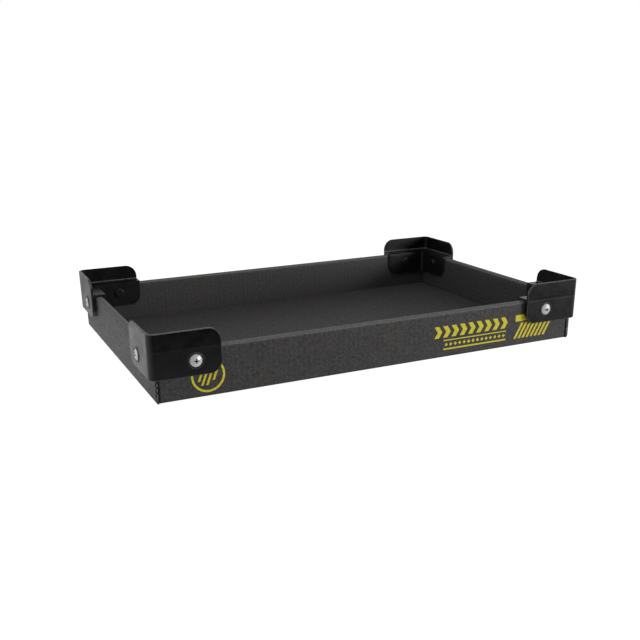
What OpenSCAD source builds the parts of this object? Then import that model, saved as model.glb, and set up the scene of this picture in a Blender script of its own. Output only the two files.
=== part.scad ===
// Shallow open tray folded from one sheet of corrugated board, with rolled walls and a double floor.
// A moulded corner is screwed over each of its four corners, and holds the tray stacked above.
// The tray stands on z = 0, centred on the origin, with its long walls along X.

/* [Tray] */
// Length over the folded walls
tray_length = 572; // [320:1:900]
// Width over the folded walls
tray_width = 366; // [260:1:600]
// Height from the underside to the top of the rolled rim
tray_height = 59; // [52:1:120]

/* [Board] */
// Thickness of the corrugated board
board = 3.2; // [2.4:0.1:4.2]
// Distance from one flute to the next
flute_pitch = 6.5; // [5:0.1:9]
// Thickness of the flat paper faces of the board
liner = 0.45; // [0.3:0.05:0.6]
// Thickness of the fluted paper inside the board
medium = 0.4; // [0.3:0.05:0.5]
// Depth to which the flutes are open at a cut edge
flute_depth = 9; // [4:0.5:20]
// Inside radius of a crease
crease_radius = 0.8; // [0.4:0.1:1.1]
// Play between boards that are folded against each other
board_play = 0.4; // [0.1:0.05:0.5]
// Gap under the inner panels, above the floor
panel_gap = 0.5; // [0.3:0.1:1]
// Length of the end flaps tucked into the hollow short walls
flap_length = 96; // [80:1:120]

/* [Lock tabs] */
// Length of the tabs that lock the inner panels to the floor
tab_length = 46; // [20:1:70]
// Distance from the middle of a short wall to its tabs
short_tab_offset = 62; // [40:1:80]
// Distance from the middle of the front wall to its outer tabs
long_tab_offset = 150; // [80:1:200]
// Play of a tab in its slot
tab_play = 0.6; // [0.3:0.1:1.2]

/* [Stacking corner] */
// Length of each leg of a corner, from the outside of the corner
corner_leg = 83; // [74:0.5:110]
// Height of the upright plates above the rim
corner_rise = 22.5; // [20:0.5:40]
// Depth of the outer plates below the rim
corner_drop = 30; // [27:0.5:42]
// Depth of the inner plates below the rim
inner_drop = 31.5; // [26:0.5:42]
// Thickness of the moulded plates
corner_wall = 2.8; // [2:0.1:3.4]
// Gap between the tray's side and the outer plates, which lets the next tray down
stack_gap = 3.5; // [2:0.1:5]
// Outside radius of the upright edge
corner_round = 9; // [6:0.1:11]
// Radius of the upper end of a leg
leg_top_round = 15.5; // [8:0.5:19]
// Radius of the lower end of a leg's outer plate
leg_bottom_round = 14.5; // [6:0.5:16]
// Radius of the lower end of a leg's inner plate
inner_end_round = 15.5; // [6:0.5:18]
// Bevel along the outer edges of the plates
edge_bevel = 0.7; // [0.3:0.1:0.9]
// Fillet between the ledge and the upright plates
foot_fillet = 1.6; // [0.5:0.1:1.9]
// Rounding of the ledge's inner edge
ledge_round = 1.2; // [0.5:0.1:1.8]
// Rounding inside the corner of the inner plates
inner_round = 3; // [1:0.1:5]
// Width of the lip that bears on the board inside the outer plates
lip = 2; // [1.4:0.1:3]
// Thickness of the ribs behind the outer plates
rib = 1.6; // [1:0.1:2.4]
// Distance from the screw to the rib on either side of it
rib_offset = 15; // [11:0.5:16]
// Play between the moulding and the board
wall_play = 0.25; // [0.1:0.05:0.5]

/* [Screws] */
// Distance from the outside of the corner to a screw
screw_inset = 52.5; // [44:0.5:56]
// Distance from the rim down to a screw
screw_drop = 12.7; // [12:0.1:15]
// Diameter of the screw's shank
screw_shank = 6; // [4:0.1:7]
// Diameter of the screw's head
screw_head = 14.6; // [11:0.1:16]
// Height of the head's dome
dome_height = 2.6; // [1.8:0.1:3.4]
// Height of the head's straight rim
head_rim = 0.7; // [0.4:0.1:1.2]
// Width across the wings of the cross recess
cross_width = 7.6; // [5:0.1:9]
// Thickness of a wing of the cross recess
cross_wing = 1.5; // [1:0.1:2]
// Depth of the cross recess
cross_depth = 2.1; // [1.2:0.1:2.6]
// Depth of the seat that the head lies in
seat_depth = 0.6; // [0.3:0.1:1]
// Play round the head in its seat
head_play = 0.5; // [0.3:0.1:0.8]
// Width of the raised ring round the seat
ring_width = 1.7; // [1:0.1:2.4]
// Height of the raised ring
ring_height = 0.9; // [0.4:0.1:1.2]
// Play round the shank in the outer plate and the board
shank_play = 0.4; // [0.2:0.05:0.8]
// Play round the shank in the inner boss
thread_play = 0.05; // [0.02:0.01:0.1]
// Diameter of the inner boss
boss_diameter = 13; // [11:0.1:15]
// Height of the inner boss
boss_height = 2.6; // [2:0.1:4]
// Solid end left in the inner boss
boss_end = 1.2; // [0.8:0.1:1.6]

/* [Hidden] */
$fn = 64;
nib = 0.01; // how far a cutter passes the face that it cuts
fuse = 0.4; // how far a feature is sunk into the wall that carries it
spill = 1; // how far a rounding's cutter reaches past the edge that it rounds
flute_steps = 10;
flute_pinch = 0.09; // share of a flute that is closed at each end, where the papers are glued
SIDES = [-1, 1];
long_tabs = [-long_tab_offset, 0, long_tab_offset];
short_tabs = [-short_tab_offset, short_tab_offset];
half_length = tray_length / 2;
half_width = tray_width / 2;
fold = board + crease_radius; // outside radius of a fold
wall = 3 * board + 2 * board_play; // thickness of a rolled wall: two boards and room for a flap
floor_top = 2 * board + board_play;
side_step = board + board_play; // the long walls stand between the outer panels of the short walls
fold_start = side_step + fold; // where the long walls' end folds begin
flute_room = tray_height - 2 * fold - 2 * board_play;
flute_count = floor(flute_room / flute_pitch);
flute_first = fold + board_play + (flute_room - flute_count * flute_pitch) / 2;
flute_swing = (board - 2 * liner - medium) / 2;
outside = stack_gap + corner_wall; // outer face of the moulding, measured out from the board
leg_end = corner_leg - outside;
elbow = corner_round - outside; // centre of the upright edge
inner_face = wall + wall_play;
inner_back = inner_face + corner_wall;
corner_top = tray_height + corner_rise;
corner_bottom = tray_height - corner_drop;
inner_bottom = tray_height - inner_drop;
ledge_top = tray_height + corner_wall;
screw_place = screw_inset - outside;
screw_height = tray_height - screw_drop;
seat_radius = screw_head / 2 + head_play;
seat_face = seat_depth - outside; // where the underside of a screw's head lies
pilot_end = inner_back + boss_height - boss_end;
shank_end = pilot_end - wall_play;
dome_radius = (screw_head * screw_head / 4 + dome_height * dome_height) / (2 * dome_height);

// ---- shapes shared by the pieces ----

// Rectangle with rounded corners
module soft_square(size, r) {
    translate([r, 0]) square([size[0] - 2 * r, size[1]]);
    translate([0, r]) square([size[0], size[1] - 2 * r]);
    for (x = [r, size[0] - r], y = [r, size[1] - r]) translate([x, y]) circle(r);
}

// What a rounding of radius r takes off a square corner that lies at the origin, in the +X +Y corner.
// Seen from the other side, it is the fillet between two walls that meet there, sunk into both.
module corner_nick(r, over = spill) {
    translate([-r, -r])
        difference() {
            square(r + over);
            circle(r);
        }
}

// Puts a thing drawn for the front left corner at the corner on side x and side y
module at_corner(x, y) {
    translate([x * half_length, y * half_width, 0])
        mirror([x > 0 ? 1 : 0, 0, 0])
            mirror([0, y > 0 ? 1 : 0, 0])
                children();
}

// A thing drawn for the leg along X, and its mirror image on the leg along Y
module both_legs() {
    children();
    mirror([1, -1, 0]) children();
}

// A line through both walls at a corner's two screws, with z = 0 at the board's outer face
module at_screws() {
    both_legs()
        translate([screw_place, 0, screw_height])
            rotate([-90, 0, 0])
                children();
}

// ---- tray ----

// Section of a rolled wall: up, over the rim and down again inside, with its outer face on x = 0
module rolled_section() {
    difference() {
        union() {
            square([wall, tray_height - fold]);
            translate([0, fold]) soft_square([wall, tray_height - fold], fold);
        }
        translate([board, 0]) soft_square([wall - 2 * board, tray_height - board], crease_radius);
    }
}

// Slit under an inner panel, which shows that the panel only stands on the floor
module panel_slit() {
    translate([board, floor_top]) square([wall, panel_gap]);
}

// The double floor, with the outer folds along all four sides
module floor_board() {
    difference() {
        translate([-half_length, -half_width, 0]) cube([tray_length, tray_width, floor_top]);
        for (x = SIDES)
            translate([x * half_length, half_width, 0])
                mirror([x > 0 ? 0 : 1, 0, 0])
                    rotate([90, 0, 0])
                        linear_extrude(tray_width)
                            mirror([0, 1]) corner_nick(fold);
        for (y = SIDES)
            mirror([0, y > 0 ? 0 : 1, 0])
                translate([side_step - half_length, half_width, 0])
                    rotate([90, 0, 90])
                        linear_extrude(tray_length - 2 * side_step)
                            mirror([0, 1]) corner_nick(fold);
    }
}

// Left-hand short wall: its outer panel covers the ends of the long walls, the rest stands between them
module short_wall() {
    translate([-half_length, half_width, 0])
        rotate([90, 0, 0]) {
            linear_extrude(tray_width)
                translate([0, fold]) square([board, tray_height - 2 * fold]);
            translate([0, 0, wall + board_play])
                linear_extrude(tray_width - 2 * (wall + board_play))
                    difference() {
                        rolled_section();
                        square([wall, fold]);
                        panel_slit();
                    }
        }
}

// Front wall, with or without the slit under its inner panel
module long_wall(slit) {
    translate([fold_start - half_length, -half_width, 0])
        rotate([90, 0, 90])
            linear_extrude(tray_length - 2 * fold_start)
                difference() {
                    rolled_section();
                    square([wall, fold]);
                    if (slit) panel_slit();
                }
}

// Slit between the front wall's end fold and the edge of the left-hand outer panel
module corner_slit() {
    translate([-half_length, -half_width, -nib])
        linear_extrude(floor_top + 2 * nib)
            difference() {
                translate([board, -nib]) square([fold_start - board, fold + nib]);
                translate([fold_start, fold]) circle(fold);
            }
}

// Flap at the left end of the front wall, folded round the corner and along inside the short wall
module end_flap() {
    flap_height = tray_height - board - board_play - fold;
    translate([fold_start - half_length, fold - half_width, fold])
        rotate([0, 0, 180])
            rotate_extrude(angle = 90)
                translate([crease_radius, 0]) square([board, flap_height]);
    translate([side_step - half_length, fold - half_width, fold])
        cube([board, flap_length - fold, flap_height]);
}

// Each place where a tab locks an inner panel, with y = 0 on the panel's face
module on_locked_panels() {
    for (middle = long_tabs)
        translate([middle, wall - half_width, 0]) children();
    for (x = SIDES, middle = short_tabs)
        translate([x * (half_length - wall), middle, 0]) rotate([0, 0, 90 * x]) children();
}

// Slot in the upper layer of the floor
module lock_slot() {
    translate([-tab_length / 2 - tab_play, -board - board_play, board + board_play])
        cube([tab_length + 2 * tab_play, board + board_play + tab_play, board + panel_gap]);
}

// Tab of an inner panel in its slot
module lock_tab() {
    translate([-tab_length / 2, -board, board + 2 * board_play])
        cube([tab_length, board, board + panel_gap + fuse]);
}

// One open cell of the fluting at a cut edge: the curve of the fluted paper closed by the flat one
module flute_cell() {
    polygon(concat(
        [for (i = [0 : flute_steps])
            let (t = flute_pinch + (1 - 2 * flute_pinch) * i / flute_steps)
            [liner + flute_swing * (1 - cos(360 * t)), flute_pitch * t]],
        [[liner, flute_pitch * (1 - flute_pinch)], [liner, flute_pitch * flute_pinch]]
    ));
}

// Open flutes in the front end of the left-hand outer panel
module open_flutes() {
    for (i = [0 : flute_count - 1])
        translate([-half_length, flute_depth - half_width, flute_first + i * flute_pitch])
            rotate([90, 0, 0])
                linear_extrude(flute_depth + nib) {
                    flute_cell();
                    if (i < flute_count - 1)
                        translate([board, flute_pitch / 2]) mirror([1, 0]) flute_cell();
                }
}

module tray() {
    color("#4c4a49")
        difference() {
            union() {
                difference() {
                    floor_board();
                    on_locked_panels() lock_slot();
                }
                short_wall();
                mirror([1, 0, 0]) short_wall();
                long_wall(true);
                mirror([0, 1, 0]) long_wall(false);
                for (x = SIDES, y = SIDES)
                    mirror([x > 0 ? 1 : 0, 0, 0]) mirror([0, y > 0 ? 1 : 0, 0]) end_flap();
                on_locked_panels() lock_tab();
            }
            for (x = SIDES, y = SIDES) {
                mirror([x > 0 ? 1 : 0, 0, 0]) mirror([0, y > 0 ? 1 : 0, 0]) {
                    corner_slit();
                    open_flutes();
                }
                at_corner(x, y)
                    at_screws()
                        translate([0, 0, -nib]) cylinder(h = wall + 2 * nib, d = screw_shank + 2 * shank_play);
            }
        }
}

// ---- stacking corner ----

// Outline of a leg's plate: its free end, at u_end, is rounded by r_low and r_high
module leg_outline(u_start, u_end, v_low, v_high, r_low, r_high) {
    difference() {
        translate([u_start, v_low]) square([u_end - u_start, v_high - v_low]);
        if (r_high > 0) translate([u_end, v_high]) corner_nick(r_high);
        translate([u_end, v_low]) mirror([0, 1]) corner_nick(r_low);
    }
}

// Section of a bevel: what it takes off the edge at the origin, of a body on the -X -Y side of it
module bevel_section() {
    polygon([[-edge_bevel, nib], [-edge_bevel, 0], [0, -edge_bevel], [nib, -edge_bevel], [nib, nib]]);
}

// Bevel along a straight edge, from one point of the outline to the next, with the body on its left
module bevel_run(from, to) {
    run = to - from;
    translate([from[0], from[1], 0])
        rotate([0, 0, atan2(run[1], run[0])])
            rotate([90, 0, 90])
                linear_extrude(norm(run))
                    mirror([1, 0]) bevel_section();
}

// Bevel round a quarter of the outline, from angle a on, about its centre
module bevel_turn(centre, r, a) {
    translate([centre[0], centre[1], 0])
        rotate([0, 0, a])
            rotate_extrude(angle = 90)
                translate([r, 0]) bevel_section();
}

// A leg's plate lying on its back: bevelled face up on z = 0, free end rounded
module lying_plate(u_start, u_end, v_low, v_high, r_low, r_high) {
    difference() {
        translate([0, 0, -corner_wall])
            linear_extrude(corner_wall)
                leg_outline(u_start, u_end, v_low, v_high, r_low, r_high);
        bevel_run([u_start, v_low], [u_end - r_low, v_low]);
        bevel_turn([u_end - r_low, v_low + r_low], r_low, -90);
        bevel_run([u_end, v_low + r_low], [u_end, v_high - r_high]);
        if (r_high > 0) {
            bevel_turn([u_end - r_high, v_high - r_high], r_high, 0);
            bevel_run([u_end - r_high, v_high], [u_start, v_high]);
        }
    }
}

// Outer plate of the leg along X, from the skirt's lower edge to the top
module outer_plate() {
    translate([0, -outside, 0])
        rotate([90, 0, 0])
            lying_plate(elbow, leg_end, corner_bottom, corner_top, leg_bottom_round, leg_top_round);
}

// Section of the outer plates, with its outer face corner_round away from the origin
module elbow_section() {
    difference() {
        translate([corner_round - corner_wall, 0]) square([corner_wall, corner_top - corner_bottom]);
        translate([corner_round, corner_top - corner_bottom]) bevel_section();
        translate([corner_round, 0]) mirror([0, 1]) bevel_section();
    }
}

// Quarter turn of the outer plates round the upright edge, running on a little into both plates
module outer_elbow() {
    translate([elbow, elbow, corner_bottom])
        rotate([0, 0, 180]) {
            rotate_extrude(angle = 90) elbow_section();
            both_legs() rotate([90, 0, 0]) linear_extrude(fuse) elbow_section();
        }
}

// Inner plate of the leg along X, hanging inside the tray
module inner_plate() {
    translate([0, inner_back, 0])
        mirror([0, 1, 0])
            rotate([90, 0, 0])
                lying_plate(inner_face, leg_end, inner_bottom, ledge_top, inner_end_round, 0);
}

// An L seen from above, with both legs between the lines at near and far
module plan_corner(near, far) {
    both_legs() translate([near, near]) square([leg_end - near, far - near]);
}

// Ledge that lies on the rim and carries the next tray
module ledge() {
    difference() {
        translate([0, 0, tray_height])
            linear_extrude(corner_wall)
                difference() {
                    plan_corner(-stack_gap - fuse, inner_back);
                    translate([-stack_gap - fuse, -stack_gap - fuse])
                        rotate(180) corner_nick(corner_round - corner_wall + fuse);
                }
        both_legs()
            translate([inner_back, inner_back, ledge_top])
                rotate([90, 0, 90])
                    linear_extrude(leg_end)
                        corner_nick(ledge_round);
    }
}

// Fillets between the ledge and the upright plates
module foot_fillets() {
    both_legs()
        translate([elbow, -stack_gap, ledge_top])
            rotate([90, 0, 90])
                linear_extrude(leg_end - elbow)
                    rotate(180) translate([-nib, -nib]) corner_nick(foot_fillet, fuse);
    translate([elbow, elbow, ledge_top])
        rotate([0, 0, 180])
            rotate_extrude(angle = 90)
                translate([corner_round - corner_wall, 0]) mirror([0, 1]) corner_nick(foot_fillet, fuse);
}

// Rounding in the corner where the two inner plates meet
module inner_corner_fillet() {
    translate([inner_back, inner_back, inner_bottom + edge_bevel])
        linear_extrude(ledge_top - ledge_round - inner_bottom - edge_bevel)
            rotate(180) corner_nick(inner_round, fuse);
}

// Lip round the inside of the skirt, between the outer plate and the board
module skirt_lip() {
    translate([0, -wall_play, 0])
        rotate([90, 0, 0])
            linear_extrude(stack_gap + fuse - wall_play)
                difference() {
                    leg_outline(elbow, leg_end - edge_bevel, corner_bottom + edge_bevel, tray_height + fuse,
                                leg_bottom_round - edge_bevel, 0);
                    leg_outline(elbow - spill, leg_end - edge_bevel - lip,
                                corner_bottom + edge_bevel + lip, tray_height + spill,
                                leg_bottom_round - edge_bevel - lip, 0);
                }
}

// Lip across the bottom of the upright edge
module elbow_lip() {
    reach = corner_round - corner_wall + fuse;
    translate([0, 0, corner_bottom + edge_bevel])
        linear_extrude(lip)
            difference() {
                translate([elbow - reach, elbow - reach])
                    difference() {
                        square(reach + nib);
                        rotate(180) corner_nick(reach);
                    }
                translate([-wall_play, -wall_play]) square(reach);
            }
}

// Ribs behind the outer plate, either side of the screw
module ribs() {
    for (x = [screw_place - rib_offset, screw_place + rib_offset])
        translate([x - rib / 2, -stack_gap - fuse, corner_bottom + edge_bevel])
            cube([rib, stack_gap + fuse - wall_play, corner_drop - edge_bevel + fuse]);
}

// Raised ring and bearing boss at a screw, with z = 0 on the board's outer face and the tray at +z
module outer_boss() {
    rotate_extrude()
        difference() {
            translate([0, -outside - ring_height])
                square([seat_radius + ring_width, ring_height + outside - wall_play]);
            translate([seat_radius + ring_width, -outside - ring_height])
                rotate(-90) corner_nick(ring_height - nib);
        }
}

// Boss on the inner plate that takes the end of a screw
module inner_boss() {
    rotate_extrude()
        difference() {
            translate([0, inner_back - fuse]) square([boss_diameter / 2, boss_height + fuse]);
            translate([boss_diameter / 2, inner_back + boss_height]) corner_nick(boss_height / 2);
        }
}

// Everything that a screw and its head take out of the moulding
module screw_way() {
    translate([0, 0, -outside - ring_height - nib])
        cylinder(h = seat_depth + ring_height + nib, r = seat_radius);
    translate([0, 0, -outside]) cylinder(h = outside + nib, d = screw_shank + 2 * shank_play);
    translate([0, 0, inner_face - nib])
        cylinder(h = pilot_end - inner_face + nib, d = screw_shank + 2 * thread_play);
}

module stacking_corner() {
    color("#1e1e20")
        difference() {
            union() {
                both_legs() {
                    outer_plate();
                    inner_plate();
                    skirt_lip();
                    ribs();
                }
                outer_elbow();
                elbow_lip();
                ledge();
                foot_fillets();
                inner_corner_fillet();
                at_screws() {
                    outer_boss();
                    inner_boss();
                }
            }
            at_screws() screw_way();
        }
}

module corner_front_left() {
    at_corner(-1, -1) stacking_corner();
}

module corner_front_right() {
    at_corner(1, -1) stacking_corner();
}

module corner_back_left() {
    at_corner(-1, 1) stacking_corner();
}

module corner_back_right() {
    at_corner(1, 1) stacking_corner();
}

// ---- screws ----

// Dome-headed screw, with the underside of its head at the seat
module screw() {
    translate([0, 0, seat_face]) {
        cylinder(h = shank_end - seat_face, d = screw_shank);
        difference() {
            union() {
                translate([0, 0, -head_rim]) cylinder(h = head_rim, d = screw_head);
                intersection() {
                    translate([0, 0, dome_radius - head_rim - dome_height]) sphere(dome_radius);
                    translate([0, 0, -head_rim - dome_height]) cylinder(h = dome_height + nib, d = screw_head);
                }
            }
            cross_recess();
        }
    }
}

// Cross recess in the dome, narrowing to a point
module cross_recess() {
    intersection() {
        translate([0, 0, -head_rim - dome_height - nib])
            cylinder(h = cross_depth, r1 = cross_width / 2, r2 = cross_wing / 2);
        for (a = [0, 90])
            rotate([0, 0, a])
                translate([-cross_width, -cross_wing / 2, -head_rim - dome_height - spill])
                    cube([2 * cross_width, cross_wing, dome_height + spill]);
    }
}

module corner_screws() {
    color("#c9ccd0")
        for (x = SIDES, y = SIDES)
            at_corner(x, y) at_screws() screw();
}

tray();
corner_front_left();
corner_front_right();
corner_back_left();
corner_back_right();
corner_screws();
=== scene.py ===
import math

import bmesh
import bpy
from mathutils import Matrix, Vector


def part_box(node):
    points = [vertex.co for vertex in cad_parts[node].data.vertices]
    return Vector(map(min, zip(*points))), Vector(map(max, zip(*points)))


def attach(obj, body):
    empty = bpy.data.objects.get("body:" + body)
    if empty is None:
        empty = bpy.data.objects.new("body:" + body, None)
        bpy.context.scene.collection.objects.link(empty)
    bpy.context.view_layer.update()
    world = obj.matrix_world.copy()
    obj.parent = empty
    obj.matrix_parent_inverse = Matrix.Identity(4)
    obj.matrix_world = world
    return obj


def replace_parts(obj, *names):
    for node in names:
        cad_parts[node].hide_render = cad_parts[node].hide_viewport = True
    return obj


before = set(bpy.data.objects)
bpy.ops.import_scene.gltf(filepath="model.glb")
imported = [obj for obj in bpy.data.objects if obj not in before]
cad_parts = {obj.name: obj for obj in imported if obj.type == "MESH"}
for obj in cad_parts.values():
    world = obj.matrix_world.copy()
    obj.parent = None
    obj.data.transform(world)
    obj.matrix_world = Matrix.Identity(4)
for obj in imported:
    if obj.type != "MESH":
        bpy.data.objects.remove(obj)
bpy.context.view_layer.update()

mm = 0.001
flutePitch = 6.5 * mm    # from one flute of the corrugated board to the next
trayLow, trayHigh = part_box("tray")
print("frame loaded: tray", [round(v / mm, 1) for v in trayHigh - trayLow], "mm")


def newObject(name, data):
    made = bpy.data.objects.new(name, data)
    bpy.context.scene.collection.objects.link(made)
    return made


cameraPlace = {
    "position": (-0.4995, -1.0545, 0.3327),
    "yaw": 25.062,     # degrees to the right of straight along the short walls
    "pitch": 20.493,   # degrees down
    "roll": -0.717,
    "lens": 48.21,
    "shiftX": 0.0054,
    "shiftY": 0.125,
    "clipStart": 0.01,
}


def makeCamera(place):
    yaw, pitch, roll = (math.radians(place[label]) for label in ("yaw", "pitch", "roll"))
    forward = Vector((math.sin(yaw) * math.cos(pitch), math.cos(yaw) * math.cos(pitch), -math.sin(pitch)))
    right = Vector((math.cos(yaw), -math.sin(yaw), 0))
    up = right.cross(forward)
    rolledRight = math.cos(roll) * right + math.sin(roll) * up
    rolledUp = math.cos(roll) * up - math.sin(roll) * right
    data = bpy.data.cameras.new("camera")
    data.lens = place["lens"]
    data.shift_x = place["shiftX"]
    data.shift_y = place["shiftY"]
    data.clip_start = place["clipStart"]
    camera = newObject("camera", data)
    turn = Matrix((rolledRight, rolledUp, -forward)).transposed()
    camera.matrix_world = Matrix.Translation(place["position"]) @ turn.to_4x4()
    bpy.context.scene.camera = camera


# what the shader trees and the geometry trees share

def feed(tree, socket, value):
    # another node's output is linked, and anything else is set on the socket
    if isinstance(value, bpy.types.NodeSocket):
        tree.links.new(value, socket)
    else:
        socket.default_value = value


def newNode(tree, kind, **values):
    # the values are named for the node's sockets, with _ for a space
    node = tree.nodes.new(kind)
    for label, value in values.items():
        feed(tree, node.inputs[label.replace("_", " ")], value)
    return node


def mathNode(tree, operation, *values, clamp=False):
    node = tree.nodes.new("ShaderNodeMath")
    node.operation = operation
    node.use_clamp = clamp
    for socket, value in zip(node.inputs, values):
        feed(tree, socket, value)
    return node.outputs[0]


def rangeNode(tree, value, low, high, toLow=0.0, toHigh=1.0):
    node = newNode(tree, "ShaderNodeMapRange", Value=value,
                   From_Min=low, From_Max=high, To_Min=toLow, To_Max=toHigh)
    node.interpolation_type = "SMOOTHSTEP"
    return node.outputs["Result"]


def splitNode(tree, vector):
    return newNode(tree, "ShaderNodeSeparateXYZ", Vector=vector).outputs


def placeNode(tree, kind="Object"):
    return tree.nodes.new("ShaderNodeTexCoord").outputs[kind]


studio = {
    "lamps": [
        # name, place, aimed at, width, height, watts
        ("lampAbove", (-0.4, -0.3, 1.9), (-0.15, 0, 0), 2.2, 0.35, 8.5),
        ("lampLeft", (-2.0, 0.1, 0.5), (-0.25, -0.1, 0.03), 1.2, 0.8, 2.5),
        ("lampFront", (1.9, -2.1, 0.5), (0, 0, 0.03), 1.2, 0.6, 31),
    ],
    "skyLevel": 0.20,      # grey of the room on the object
    "ceiling": 0.28,       # grey of the ceiling in reflections
    "horizon": (8, 38),    # degrees above the horizon between which white turns to that grey
    "roomInFront": 0.15,   # how much of that is left towards the front
    "frontEdge": (-0.9, -0.3),         # directions along Y between which the dark in front ends
    "darkPlace": (0.05, -1.27, 0.0),   # the middle of the floor's dark part, in reflections
    "rise": (0.88, 1.32),  # metres from there between which it turns white
    "fall": (1.45, 1.9),   # and between which it turns dimmer again
    "floorInFront": 0.0,   # the floor's brightness in reflections, in its three parts
    "floorBeside": 1.0,
    "floorBeyond": 0.6,
    "floorColour": 0.82,   # the floor's grey to the object
    "floorShade": 0.30,    # the floor's grey to the camera, which takes the shadows
    "floorGlow": 0.96,     # what makes the floor white to the camera, under its shadows
    "floorSize": 14.0,
}


def makeLamp(name, place, target, width, height, watts):
    data = bpy.data.lights.new(name, "AREA")
    data.shape = "RECTANGLE"
    data.size = width
    data.size_y = height
    data.energy = watts
    lamp = newObject(name, data)
    lamp.location = place
    lamp.rotation_euler = (Vector(target) - Vector(place)).to_track_quat("-Z", "Y").to_euler()


def grey(level):
    return (level, level, level, 1)


def raysOf(tree, *kinds):
    # 1 for rays of any of these kinds
    path = tree.nodes.new("ShaderNodeLightPath")
    found = path.outputs["Is " + kinds[0] + " Ray"]
    for kind in kinds[1:]:
        found = mathNode(tree, "MAXIMUM", found, path.outputs["Is " + kind + " Ray"])
    return found


def mixedShader(tree, factor, first, second):
    mix = tree.nodes.new("ShaderNodeMixShader")
    for socket, value in zip(mix.inputs, (factor, first.outputs[0], second.outputs[0])):
        feed(tree, socket, value)
    return mix


def makeWorld(look):
    # reflections see a white horizon, a grey ceiling and a dark room in front
    world = bpy.data.worlds.new("studioWorld")
    world.use_nodes = True
    tree = world.node_tree
    tree.nodes.clear()
    way = splitNode(tree, placeNode(tree, "Generated"))
    low, high = (math.sin(math.radians(angle)) for angle in look["horizon"])
    height = rangeNode(tree, way["Z"], low, high, 1.0, look["ceiling"])
    side = rangeNode(tree, way["Y"], *look["frontEdge"], look["roomInFront"], 1.0)
    level = mathNode(tree, "MAXIMUM", mathNode(tree, "MULTIPLY", height, side), raysOf(tree, "Camera"))
    room = newNode(tree, "ShaderNodeBackground", Color=grey(look["skyLevel"]))
    seen = newNode(tree, "ShaderNodeBackground", Color=level)
    mixed = mixedShader(tree, raysOf(tree, "Camera", "Glossy", "Transmission"), room, seen)
    newNode(tree, "ShaderNodeOutputWorld", Surface=mixed.outputs[0])
    bpy.context.scene.world = world


def makeFloor(look):
    half = look["floorSize"] / 2
    mesh = bpy.data.meshes.new("floor")
    corners = [(-half, -half, 0), (half, -half, 0), (half, half, 0), (-half, half, 0)]
    mesh.from_pydata(corners, [], [(0, 1, 2, 3)])
    floor = newObject("floor", mesh)
    material = bpy.data.materials.new("paleFloor")
    material.use_nodes = True
    tree = material.node_tree
    tree.nodes.clear()
    matt = newNode(tree, "ShaderNodeBsdfDiffuse", Color=grey(look["floorColour"]))
    # the camera sees white with the shadows in it
    dim = newNode(tree, "ShaderNodeBsdfDiffuse", Color=grey(look["floorShade"]))
    glow = newNode(tree, "ShaderNodeEmission", Strength=look["floorGlow"])
    white = tree.nodes.new("ShaderNodeAddShader")
    feed(tree, white.inputs[0], dim.outputs[0])
    feed(tree, white.inputs[1], glow.outputs[0])
    # reflections see it dark in front, brightest beside the tray, dimmer beyond
    away = newNode(tree, "ShaderNodeVectorMath")
    away.operation = "DISTANCE"
    feed(tree, away.inputs[0], placeNode(tree))
    feed(tree, away.inputs[1], look["darkPlace"])
    distance = away.outputs["Value"]
    rise = rangeNode(tree, distance, *look["rise"], look["floorInFront"], look["floorBeside"])
    fall = rangeNode(tree, distance, *look["fall"], 1.0, look["floorBeyond"])
    mirrored = newNode(tree, "ShaderNodeEmission", Color=mathNode(tree, "MULTIPLY", rise, fall))
    plain = mixedShader(tree, raysOf(tree, "Camera"), matt, white)
    mixed = mixedShader(tree, raysOf(tree, "Glossy", "Transmission"), plain, mirrored)
    newNode(tree, "ShaderNodeOutputMaterial", Surface=mixed.outputs[0])
    mesh.materials.append(material)


bpy.context.scene.view_settings.view_transform = "Standard"
makeCamera(cameraPlace)
for lamp in studio["lamps"]:
    makeLamp(*lamp)
makeWorld(studio)
makeFloor(studio)
print("camera, lamps and floor made")


def newGroup(name, inputs, outputs):
    # each input stands beside the value it has until a material gives its own
    tree = bpy.data.node_groups.new(name, "ShaderNodeTree")
    for label, value in inputs.items():
        socket = tree.interface.new_socket(label, in_out="INPUT", socket_type="NodeSocketFloat")
        socket.default_value = value
    for label in outputs:
        tree.interface.new_socket(label, in_out="OUTPUT", socket_type="NodeSocketFloat")
    return tree, tree.nodes.new("NodeGroupInput").outputs, tree.nodes.new("NodeGroupOutput").inputs


def noiseNode(tree, scale, detail, roughness):
    return newNode(tree, "ShaderNodeTexNoise", Vector=placeNode(tree),
                   Scale=scale, Detail=detail, Roughness=roughness).outputs["Fac"]


mixSockets = {"RGBA": (6, 7, 2), "FLOAT": (2, 3, 0)}    # a Mix node's A, B and result


def mixNode(tree, factor, first, second, kind="RGBA"):
    node = newNode(tree, "ShaderNodeMix", Factor=factor)
    node.data_type = kind
    a, b, result = mixSockets[kind]
    feed(tree, node.inputs[a], first)
    feed(tree, node.inputs[b], second)
    return node.outputs[result]


mottleLook = {
    "cloudDetail": 4.0,
    "cloudEdges": (0.3, 0.7),      # the noise values at which a cloud begins and is full
    "grainDetail": 2.0,
    "grainEdges": (0.25, 0.75),
    "roughness": 0.6,
}


def mottleGroup(look):
    # cloudy differences of tone, and fine grain for the bump
    tree, start, end = newGroup("mottle", {"Cloud Scale": 120, "Grain Scale": 1500}, ["Cloud", "Grain"])
    cloud = noiseNode(tree, start["Cloud Scale"], look["cloudDetail"], look["roughness"])
    grain = noiseNode(tree, start["Grain Scale"], look["grainDetail"], look["roughness"])
    feed(tree, end["Cloud"], rangeNode(tree, cloud, *look["cloudEdges"]))
    feed(tree, end["Grain"], rangeNode(tree, grain, *look["grainEdges"]))
    return tree


endWall = 0.7    # a face whose normal points further than this along X is on a short wall


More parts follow.
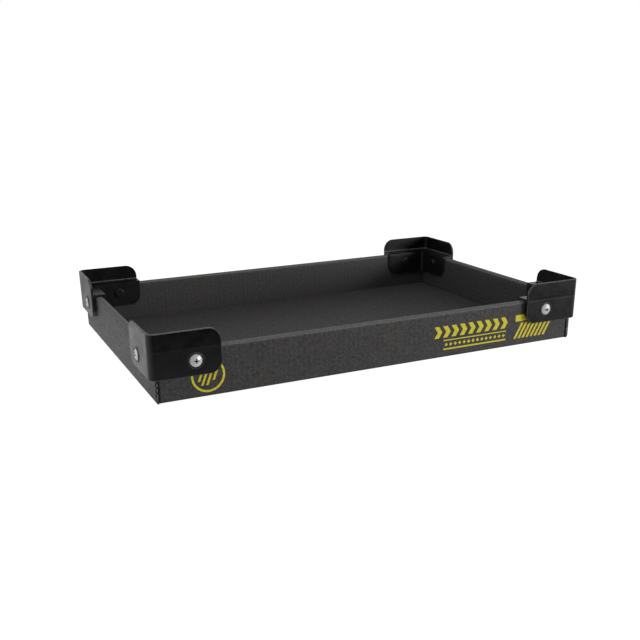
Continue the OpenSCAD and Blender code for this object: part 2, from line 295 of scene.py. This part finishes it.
def fluteGroup():
    # the washboard that the fluting shows through the paper: lines along Y in the flat sheet
    tree, start, end = newGroup("fluteLines", {"Pitch": flutePitch}, ["Line"])
    place = splitNode(tree, placeNode(tree))
    facing = splitNode(tree, tree.nodes.new("ShaderNodeNewGeometry").outputs["True Normal"])
    sideways = mathNode(tree, "GREATER_THAN", mathNode(tree, "ABSOLUTE", facing["X"]), endWall)
    along = mixNode(tree, sideways, place["X"], place["Z"], "FLOAT")
    turns = mathNode(tree, "DIVIDE", along, start["Pitch"])
    wave = mathNode(tree, "COSINE", mathNode(tree, "MULTIPLY", turns, 2 * math.pi))
    feed(tree, end["Line"], mathNode(tree, "MULTIPLY_ADD", wave, 0.5, 0.5))
    return tree


wearAndHighlightLook = {
    "detail": 3.0,
    "roughness": 0.6,
    "edges": (0.35, 0.65),    # the noise values between which the whole mark turns to rubbed grey and painted highlight
}


def wearAndHighlightGroup(look):
    # breaks an edge mask up, so that the wear and painted highlight along folds and edges isn't even
    tree, start, end = newGroup("edgeWearAndHighlight", {"Edge": 0, "Scale": 300, "Gaps": 0.5}, ["Mask"])
    noise = noiseNode(tree, start["Scale"], look["detail"], look["roughness"])
    rubbedAndLit = rangeNode(tree, noise, *look["edges"])
    kept = mathNode(tree, "SUBTRACT", 1.0, start["Gaps"])
    share = mathNode(tree, "MULTIPLY_ADD", rubbedAndLit, start["Gaps"], kept)
    feed(tree, end["Mask"], mathNode(tree, "MULTIPLY", start["Edge"], share))
    return tree


mottle = mottleGroup(mottleLook)
fluteLines = fluteGroup()
edgeWearAndHighlight = wearAndHighlightGroup(wearAndHighlightLook)
print("shader groups made")


def newMaterial(name, **plain):
    # plain values stand on the shader's own sockets
    material = bpy.data.materials.new(name)
    material.use_nodes = True
    shader = material.node_tree.nodes["Principled BSDF"]
    for label, value in plain.items():
        shader.inputs[label.replace("_", " ")].default_value = value
    return material, material.node_tree, shader.inputs


def placeGroup(tree, group, **values):
    node = tree.nodes.new("ShaderNodeGroup")
    node.node_tree = group
    for label, value in values.items():
        feed(tree, node.inputs[label.replace("_", " ")], value)
    return node.outputs


def markNode(tree, name):
    node = tree.nodes.new("ShaderNodeAttribute")
    node.attribute_name = name
    return node.outputs["Fac"]


def mottled(tree, look):
    return placeGroup(tree, mottle, Cloud_Scale=look["cloudScale"], Grain_Scale=look["grainScale"])


def wornAndLitMark(tree, name, wear):
    # a marked edge with gaps in its wear and painted highlight; wear is the scale of the gaps and their
    # share
    scale, gaps = wear
    return placeGroup(tree, edgeWearAndHighlight, Edge=markNode(tree, name), Scale=scale, Gaps=gaps)["Mask"]


def bumpNode(tree, height, bump, **under):
    strength, distance = bump
    return newNode(tree, "ShaderNodeBump", Height=height, Strength=strength,
                   Distance=distance, **under).outputs["Normal"]


def finishSurface(tree, shader, colour, skin, look, **under):
    # clouds vary the gloss, and grain is a fine bump over what may lie under it
    feed(tree, shader["Base Color"], colour)
    feed(tree, shader["Roughness"], rangeNode(tree, skin["Cloud"], 0, 1, *look["roughness"]))
    feed(tree, shader["Normal"], bumpNode(tree, skin["Grain"], look["grainBump"], **under))


# in each look a bump is a strength and a height, wear and painted highlight are a noise scale and the share
# of gaps, and roughness goes from the first value to the second as the clouds fill

boardLook = {
    "dark": (0.0085, 0.0078, 0.0090, 1),
    "light": (0.0800, 0.0772, 0.0767, 1),
    "brown": (0.064, 0.054, 0.045, 1),    # what the paper turns to in patches
    "patches": 0.25,                      # how far it turns there
    "patchScale": 26,
    "fold": (0.150, 0.147, 0.144, 1),     # paper rubbed pale along the folds, partly real wear and partly painted highlight
    "foldWearAndHighlight": (420, 0.5),
    "cut": (0.045, 0.041, 0.037, 1),      # raw paper at a cut edge
    "cutWear": (900, 0.8),
    "cloudScale": 330,
    "grainScale": 620,
    "grainShare": 0.6,                    # of the tone, and the clouds make the rest
    "lineShade": 0.12,
    "gloss": 0.5,
    "roughness": (0.66, 0.54),
    "lineBump": (0.5, 0.05 * mm),
    "grainBump": (0.5, 0.05 * mm),
}


def boardMaterial(look):
    material, tree, shader = newMaterial("blackBoard", Specular_IOR_Level=look["gloss"])
    paper = mottled(tree, look)
    line = placeGroup(tree, fluteLines)["Line"]
    clouds = mathNode(tree, "MULTIPLY", paper["Cloud"], 1 - look["grainShare"])
    grained = mathNode(tree, "MULTIPLY_ADD", paper["Grain"], look["grainShare"], clouds)
    tone = mathNode(tree, "MULTIPLY_ADD", line, look["lineShade"], grained, clamp=True)
    patch = placeGroup(tree, mottle, Cloud_Scale=look["patchScale"])["Cloud"]
    patches = mathNode(tree, "MULTIPLY", patch, look["patches"])
    sheet = mixNode(tree, patches, mixNode(tree, tone, look["dark"], look["light"]), look["brown"])
    # the rim's folds take the pale fold colour, partly wear and partly painted highlight
    rubbedAndLit = mixNode(tree, wornAndLitMark(tree, "fold", look["foldWearAndHighlight"]), sheet, look["fold"])
    colour = mixNode(tree, wornAndLitMark(tree, "cut", look["cutWear"]), rubbedAndLit, look["cut"])
    ridges = bumpNode(tree, line, look["lineBump"])
    finishSurface(tree, shader, colour, paper, look, Normal=ridges)
    return material


plasticLook = {
    "dark": (0.0016, 0.0016, 0.0018, 1),
    "light": (0.0032, 0.0032, 0.0036, 1),
    "paintedLightBelowRim": (0.0075, 0.0075, 0.0080, 1),   # painted light: faces below the rim made lighter, standing in for the floor's reflected light
    "edge": (0.22, 0.225, 0.235, 1),          # rubbed grey along the edges, partly real wear and partly painted highlight
    "edgeWearAndHighlight": (240, 0.45),
    "sinkHeight": trayHigh.z + 1.4 * mm,      # where the ledge has drawn the outer faces in
    "sinkWidth": 2.6 * mm,
    "sinkBump": (1.0, 0.12 * mm),
    "creaseWidth": 0.9 * mm,                  # a painted highlight line along the middle of that sink
    "creaseHighlight": 0.04,
    "cloudScale": 60,
    "grainScale": 1800,
    "gloss": 0.36,
    "roughness": (0.32, 0.40),
    "grainBump": (0.3, 0.03 * mm),
}


def plasticMaterial(look):
    material, tree, shader = newMaterial("blackMoulding", Specular_IOR_Level=look["gloss"])
    skin = mottled(tree, look)
    height = mathNode(tree, "SUBTRACT", splitNode(tree, placeNode(tree))["Z"], look["sinkHeight"])
    off = mathNode(tree, "ABSOLUTE", height)
    # below the sink the colour is painted lighter, standing in for reflected light from the floor
    upper = rangeNode(tree, height, -look["sinkWidth"], look["sinkWidth"])
    mottledTone = mixNode(tree, skin["Cloud"], look["dark"], look["light"])
    # a thin line along the sink is painted lighter, toward the edge grey: painted highlight
    middle = rangeNode(tree, off, 0, look["creaseWidth"], 1, 0)
    crease = mathNode(tree, "MULTIPLY", middle, look["creaseHighlight"])
    body = mixNode(tree, crease, mixNode(tree, upper, look["paintedLightBelowRim"], mottledTone), look["edge"])
    # the marked edges take that grey: worn edges and painted highlight together
    colour = mixNode(tree, wornAndLitMark(tree, "edge", look["edgeWearAndHighlight"]), body, look["edge"])
    sink = bumpNode(tree, rangeNode(tree, off, 0, look["sinkWidth"]), look["sinkBump"])
    finishSurface(tree, shader, colour, skin, look, Normal=sink)
    return material


zincLook = {
    "dark": (0.72, 0.73, 0.75, 1),
    "light": (0.95, 0.96, 0.98, 1),
    "recess": (0.03, 0.03, 0.032, 1),     # painted shade in the cross recess
    "haze": 0.75,                         # share of the plating that has gone white and matt
    "cloudScale": 500,
    "grainScale": 3000,
    "roughness": (0.34, 0.24),
    "grainBump": (0.2, 0.02 * mm),
}


def zincMaterial(look):
    material, tree, shader = newMaterial("brightZinc", Metallic=1.0 - look["haze"])
    skin = mottled(tree, look)
    plated = mixNode(tree, skin["Cloud"], look["dark"], look["light"])
    # the cross recess is painted dark: painted shade, where the recess is in shadow
    recessShaded = mixNode(tree, markNode(tree, "recess"), plated, look["recess"])
    finishSurface(tree, shader, recessShaded, skin, look)
    return material


inkLook = {
    "ink": (0.95, 0.83, 0.06, 1),
    "thin": (0.70, 0.60, 0.05, 1),
    "bare": (0.05, 0.047, 0.04, 1),
    "patchy": 0.30,           # how much less ink the hollows between flutes took
    "thinShare": 0.5,         # how far the thinnest ink goes towards the thin colour
    "specks": (0.82, 0.97),   # the grain values between which ink turns to bare paper
    "cloudScale": 420,
    "grainScale": 2200,
    "gloss": 0.2,
    "roughness": (0.6, 0.45),
    "grainBump": (0.4, 0.04 * mm),
}


def inkMaterial(look):
    material, tree, shader = newMaterial("yellowInk", Specular_IOR_Level=look["gloss"])
    paper = mottled(tree, look)
    line = placeGroup(tree, fluteLines)["Line"]
    missed = mathNode(tree, "MULTIPLY_ADD", line, look["patchy"], paper["Cloud"])
    thin = mathNode(tree, "MULTIPLY", missed, look["thinShare"])
    ink = mixNode(tree, thin, look["ink"], look["thin"])
    specks = rangeNode(tree, paper["Grain"], *look["specks"])
    finishSurface(tree, shader, mixNode(tree, specks, ink, look["bare"]), paper, look)
    return material


paperLook = {
    "dark": (0.10, 0.09, 0.08, 1),
    "light": (0.75, 0.70, 0.63, 1),
    "cloudScale": 700,
    "grainScale": 3500,
    "gloss": 0.1,
    "roughness": (0.9, 0.75),
    "grainBump": (0.6, 0.06 * mm),
}


def paperMaterial(look):
    material, tree, shader = newMaterial("cutPaper", Specular_IOR_Level=look["gloss"])
    paper = mottled(tree, look)
    finishSurface(tree, shader, mixNode(tree, paper["Cloud"], look["dark"], look["light"]), paper, look)
    return material


blackBoard = boardMaterial(boardLook)
yellowInk = inkMaterial(inkLook)
cutPaper = paperMaterial(paperLook)
blackMoulding = plasticMaterial(plasticLook)
brightZinc = zincMaterial(zincLook)
print("materials made")


def addPiece(name, mesh, material):
    # a mesh from a node tree has its material already
    mesh.name = name
    if material:
        mesh.materials.clear()
        mesh.materials.append(material)
    piece = newObject(name, mesh)
    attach(piece, "root")
    return piece


def plainMesh(draft):
    # the mesh that a draft's modifiers make; the draft itself goes
    seen = draft.evaluated_get(bpy.context.evaluated_depsgraph_get())
    made = bpy.data.meshes.new_from_object(seen)
    draft.modifiers.clear()
    bpy.data.objects.remove(draft)
    return made


def markFaces(mesh, name, marks):
    attribute = mesh.attributes.new(name, "FLOAT", "CORNER")
    values = [0.0] * len(mesh.loops)
    for face, mark in zip(mesh.polygons, marks):
        if mark:
            for loop in face.loop_indices:
                values[loop] = 1.0
    attribute.data.foreach_set("value", values)


meshing = {
    "weld": 0.004 * mm,
    "flatWithin": 0.5,     # degrees between triangles that become one face
    "roundFrom": 30,       # degrees between faces whose edge is rounded
    "weight": 100,         # how fully the large faces rule the shading at a rounded edge
}


def mergedMesh(node):
    # the node's loose triangles joined, and flat ones made one face
    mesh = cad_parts[node].data.copy()
    work = bmesh.new()
    work.from_mesh(mesh)
    bmesh.ops.remove_doubles(work, verts=work.verts, dist=meshing["weld"])
    flat = math.radians(meshing["flatWithin"])
    bmesh.ops.dissolve_limit(work, angle_limit=flat, verts=work.verts, edges=work.edges)
    work.to_mesh(mesh)
    work.free()
    mesh.materials.clear()
    return mesh


def roundedMesh(mesh, radius, segments):
    # rounds every sharp edge, and marks the new faces "edge" by way of a second slot
    mesh.shade_smooth()
    draft = newObject("draft", mesh)
    mesh.materials.append(None)
    mesh.materials.append(None)
    bevel = draft.modifiers.new("rounding", "BEVEL")
    bevel.width = radius
    bevel.segments = segments
    bevel.limit_method = "ANGLE"
    bevel.angle_limit = math.radians(meshing["roundFrom"])
    bevel.material = 1
    weighted = draft.modifiers.new("weighted", "WEIGHTED_NORMAL")
    weighted.weight = meshing["weight"]
    made = plainMesh(draft)
    markFaces(made, "edge", [face.material_index == 1 for face in made.polygons])
    made.polygons.foreach_set("material_index", [0] * len(made.polygons))
    return made


boardSizes = {
    "board": 3.2 * mm,
    "rimDepth": 2.4 * mm,    # how far down the rim's paper is rubbed and painted with highlight
    "cutDepth": 0.6 * mm,
    "squareOn": 0.99,        # a cut edge's normal points at least this far along Y
    "sharpFrom": 25,         # degrees between faces whose edge stays sharp
}


def makeTray(sizes):
    mesh = mergedMesh("tray")
    rim, cut = [], []
    for face in mesh.polygons:
        place, facing = face.center, face.normal
        rim.append(place.z > trayHigh.z - sizes["rimDepth"])
        atEnd = abs(place.y) > trayHigh.y - sizes["cutDepth"] and abs(facing.y) > sizes["squareOn"]
        cut.append(atEnd and abs(place.x) > trayHigh.x - sizes["board"])
    markFaces(mesh, "fold", rim)
    markFaces(mesh, "cut", cut)
    mesh.shade_smooth()
    mesh.set_sharp_from_angle(angle=math.radians(sizes["sharpFrom"]))
    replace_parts(addPiece("trayBoard", mesh, blackBoard), "tray")


makeTray(boardSizes)
print("tray made")

cornerSizes = {
    "rounding": 0.35 * mm,
    "segments": 2,
    "slanted": 0.95,          # a bevel's normal has no larger part than this
    "upright": 0.3,           # and an upright face's normal rises less than this
    "elbowReach": 20 * mm,    # how far the round upright edge reaches from the corner
    "wall": 10 * mm,          # what lies further in than this hangs inside the tray
    "bevelWearAndHighlight": 0.5,
    "insideWearAndHighlight": 0.2,
    "nodes": {
        "corner_front_left": "cornerFrontLeft",
        "corner_front_right": "cornerFrontRight",
        "corner_back_left": "cornerBackLeft",
        "corner_back_right": "cornerBackRight",
    },
}


def wearAndHighlightEdges(mesh, sizes):
    # the CAD's own bevels get the worn grey and painted highlight too, and what hangs inside the tray gets
    # less of both
    values = mesh.attributes["edge"].data
    for face in mesh.polygons:
        facing, place = face.normal, face.center
        inward = (trayHigh.x - abs(place.x), trayHigh.y - abs(place.y))
        onElbow = min(inward) < 0 and max(inward) < sizes["elbowReach"] and abs(facing.z) < sizes["upright"]
        bevel = max(abs(part) for part in facing) < sizes["slanted"] and not onElbow
        share = sizes["insideWearAndHighlight"] if min(inward) > sizes["wall"] else 1.0
        for loop in face.loop_indices:
            values[loop].value = share * max(values[loop].value, sizes["bevelWearAndHighlight"] * bevel)


def makeCorner(node, name, sizes):
    mesh = roundedMesh(mergedMesh(node), sizes["rounding"], sizes["segments"])
    wearAndHighlightEdges(mesh, sizes)
    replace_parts(addPiece(name, mesh, blackMoulding), node)


for node, name in cornerSizes["nodes"].items():
    makeCorner(node, name, cornerSizes)
print("corners made")

screwSizes = {
    "rounding": 0.15 * mm,
    "segments": 2,
    "inset": 55.15 * mm,               # from the heads on a corner's other leg to a screw's axis
    "recessReach": 3.9 * mm,           # from the axis
    "recess": (0.7 * mm, 2.3 * mm),    # below the top of a head
}


def recessMarks(mesh, sizes):
    # the faces inside the cross recesses; a screw stands along Y or along X
    low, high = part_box("corner_screws")
    middle = (low.z + high.z) / 2
    top, bottom = sizes["recess"]
    marks = []
    for face in mesh.polygons:
        place = face.center
        inward = (high.x - abs(place.x), high.y - abs(place.y))
        depth, across = min(inward), max(inward) - sizes["inset"]
        reach = math.hypot(across, place.z - middle)
        marks.append(reach < sizes["recessReach"] and top < depth < bottom)
    return marks


def makeScrews(sizes):
    mesh = roundedMesh(mergedMesh("corner_screws"), sizes["rounding"], sizes["segments"])
    markFaces(mesh, "recess", recessMarks(mesh, sizes))
    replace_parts(addPiece("cornerScrews", mesh, brightZinc), "corner_screws")


makeScrews(screwSizes)
print("screws made")


# geometry trees for what repeats

def newTree(name, inputs):
    tree = bpy.data.node_groups.new(name, "GeometryNodeTree")
    tree.interface.new_socket("Geometry", in_out="INPUT", socket_type="NodeSocketGeometry")
    for label, kind in inputs.items():
        tree.interface.new_socket(label, in_out="INPUT", socket_type="NodeSocket" + kind)
    tree.interface.new_socket("Geometry", in_out="OUTPUT", socket_type="NodeSocketGeometry")
    return tree, tree.nodes.new("NodeGroupInput").outputs, tree.nodes.new("NodeGroupOutput").inputs


def combined(tree, x=0.0, y=0.0, z=0.0):
    return newNode(tree, "ShaderNodeCombineXYZ", X=x, Y=y, Z=z).outputs[0]


def pointPlace(tree):
    return splitNode(tree, tree.nodes.new("GeometryNodeInputPosition").outputs[0])


def moved(tree, geometry, offset):
    return newNode(tree, "GeometryNodeSetPosition", Geometry=geometry, Offset=offset).outputs[0]


def finishTree(tree, end, geometry, material):
    real = newNode(tree, "GeometryNodeRealizeInstances", Geometry=geometry)
    dressed = newNode(tree, "GeometryNodeSetMaterial", Geometry=real.outputs[0], Material=material)
    feed(tree, end["Geometry"], dressed.outputs[0])


def grownMesh(tree, values):
    # runs a tree on an empty mesh with these values, and gives the plain mesh that comes out
    draft = newObject("draft", bpy.data.meshes.new("draft"))
    modifier = draft.modifiers.new("tree", "NODES")
    modifier.node_group = tree
    for item in tree.interface.items_tree:
        if item.in_out == "INPUT" and item.name in values:
            modifier[item.identifier] = values[item.name]
    return plainMesh(draft)


def inkRowTree():
    # a row of flat shapes along X: bars, slanted bars, chevrons or turned squares
    tree, start, end = newTree("inkRow", {
        "Count": "Int", "Pitch": "Float", "Width": "Float", "Height": "Float", "Depth": "Float",
        "Slant": "Float", "Point": "Float", "Turn": "Float"})
    size = combined(tree, start["Width"], start["Depth"], start["Height"])
    shape = newNode(tree, "GeometryNodeMeshCube", Size=size, Vertices_Z=3)    # it bends at the middle ones
    height = pointPlace(tree)["Z"]
    lean = mathNode(tree, "MULTIPLY", height, start["Slant"])
    bend = mathNode(tree, "MULTIPLY", mathNode(tree, "ABSOLUTE", height), start["Point"])
    shaped = moved(tree, shape.outputs["Mesh"], combined(tree, mathNode(tree, "SUBTRACT", lean, bend)))
    step = combined(tree, start["Pitch"])
    line = newNode(tree, "GeometryNodeMeshLine", Count=start["Count"], Offset=step)
    turn = combined(tree, 0.0, start["Turn"])
    row = newNode(tree, "GeometryNodeInstanceOnPoints", Points=line.outputs[0],
                  Instance=shaped, Rotation=turn)
    finishTree(tree, end, row.outputs[0], yellowInk)
    return tree


printSizes = {
    "depth": 0.08 * mm,
    "sunk": 0.03 * mm,    # what of that lies in the paper
    # name, tree values in mm, and the place of the row's first shape: X from the middle, Z from below
    "rows": [
        ("printChevrons", dict(Count=9, Pitch=12.6, Width=6.6, Height=15.0, Point=0.62), (80.0, 34.0)),
        ("printRuleUpper", dict(Count=1, Pitch=1, Width=96.0, Height=1.4), (134.0, 22.6)),
        ("printLozenges", dict(Count=14, Pitch=6.8, Width=3.4, Height=3.4, Turn=45.0), (90.0, 17.0)),
        ("printRuleLower", dict(Count=1, Pitch=1, Width=96.0, Height=2.0), (134.0, 11.2)),
        ("printHatch", dict(Count=8, Pitch=6.6, Width=3.6, Height=21.0, Slant=0.55), (202.5, 20.5)),
        ("printBand", dict(Count=1, Pitch=1, Width=58.0, Height=8.4), (225.6, 37.4)),
    ],
}


def placePrint(mesh, x, z, sizes):
    y = trayLow.y + sizes["sunk"] - sizes["depth"] / 2
    mesh.transform(Matrix.Translation((x * mm, y, z * mm)))


def makePrintRows(sizes):
    tree = inkRowTree()
    for name, row, (x, z) in sizes["rows"]:
        values = {label: value * mm for label, value in row.items() if label in ("Pitch", "Width", "Height")}
        values.update(Count=row["Count"], Depth=sizes["depth"], Slant=row.get("Slant", 0.0),
                      Point=row.get("Point", 0.0), Turn=math.radians(row.get("Turn", 0.0)))
        mesh = grownMesh(tree, values)
        placePrint(mesh, x, z, sizes)
        addPiece(name, mesh, None)


# in mm, from the middle of the front wall and from below
roundMark = {
    "centre": (-225.0, 25.5),
    "outer": 20.0,
    "inner": 17.4,
    "steps": 72,
    "bars": [(-8.7, 13.0), (-2.9, 23.0), (2.9, 23.0), (8.7, 13.0)],   # place across the mark, length
    "barWidth": 2.8,
    "barSlant": 0.4,
}


def makeRoundMark(mark, sizes):
    work = bmesh.new()
    half = sizes["depth"] / 2
    outer, inner = mark["outer"] * mm, mark["inner"] * mm
    turns = [2 * math.pi * i / mark["steps"] for i in range(mark["steps"])]
    rings = []
    for radius, y in ((outer, -half), (inner, -half), (inner, half), (outer, half)):
        rings.append([work.verts.new((radius * math.cos(t), y, radius * math.sin(t))) for t in turns])
    for i in range(mark["steps"]):
        j = (i + 1) % mark["steps"]
        for near, far in zip(rings, rings[1:] + rings[:1]):
            work.faces.new((near[i], far[i], far[j], near[j]))
    for x, length in mark["bars"]:
        bar = bmesh.ops.create_cube(work, size=1.0)["verts"]
        bmesh.ops.scale(work, verts=bar, vec=(mark["barWidth"] * mm, sizes["depth"], length * mm))
        for corner in bar:
            corner.co.x += x * mm + mark["barSlant"] * corner.co.z
    bmesh.ops.recalc_face_normals(work, faces=work.faces)
    mesh = bpy.data.meshes.new("printMark")
    work.to_mesh(mesh)
    work.free()
    placePrint(mesh, *mark["centre"], sizes)
    addPiece("printMark", mesh, yellowInk)


makePrintRows(printSizes)
makeRoundMark(roundMark, printSizes)
print("print made")

fluteSizes = {
    "liner": 0.45 * mm,
    "paper": 0.42 * mm,
    "length": 8.6 * mm,      # how deep the open flutes are
    "proud": 0.25 * mm,      # of the cut edge
    "low": 6.75 * mm,        # from the underside and the rim to the first and last flute
    "stepsPerFlute": 12,
}


def flutedPaperTree():
    # a strip of paper waving from one liner to the other as it goes up
    tree, start, end = newTree("flutedPaper", {
        "Height": "Float", "Pitch": "Float", "Swing": "Float", "Length": "Float", "Paper": "Float",
        "Steps": "Int"})
    step = combined(tree, z=mathNode(tree, "DIVIDE", start["Height"], start["Steps"]))
    points = mathNode(tree, "ADD", start["Steps"], 1)
    line = newNode(tree, "GeometryNodeMeshLine", Count=points, Offset=step)
    turns = mathNode(tree, "DIVIDE", pointPlace(tree)["Z"], start["Pitch"])
    wave = mathNode(tree, "COSINE", mathNode(tree, "MULTIPLY", turns, 2 * math.pi))
    waved = moved(tree, line.outputs[0], combined(tree, mathNode(tree, "MULTIPLY", wave, start["Swing"])))
    path = newNode(tree, "GeometryNodeMeshToCurve", Mesh=waved)
    profile = newNode(tree, "GeometryNodeCurvePrimitiveQuadrilateral",
                      Width=start["Length"], Height=start["Paper"])
    sheet = newNode(tree, "GeometryNodeCurveToMesh", Curve=path.outputs[0],
                    Profile_Curve=profile.outputs[0], Fill_Caps=True)
    finishTree(tree, end, sheet.outputs[0], cutPaper)
    return tree


def makeFlutedPaper(sizes, board):
    tree = flutedPaperTree()
    height = trayHigh.z - 2 * sizes["low"]
    steps = round(height / flutePitch) * sizes["stepsPerFlute"]
    swing = (board - 2 * sizes["liner"] - sizes["paper"]) / 2
    values = dict(Height=height, Pitch=flutePitch, Length=sizes["length"], Paper=sizes["paper"], Steps=steps)
    for label, x in (("Left", -1), ("Right", 1)):
        values["Swing"] = x * swing
        for end, y in (("Front", -1), ("Back", 1)):
            mesh = grownMesh(tree, values)
            across = x * (trayHigh.x - board / 2)
            along = y * (trayHigh.y + sizes["proud"] - sizes["length"] / 2)
            mesh.transform(Matrix.Translation((across, along, sizes["low"])))
            addPiece("flutedPaper" + end + label, mesh, None)


makeFlutedPaper(fluteSizes, boardSizes["board"])
print("fluted paper made")
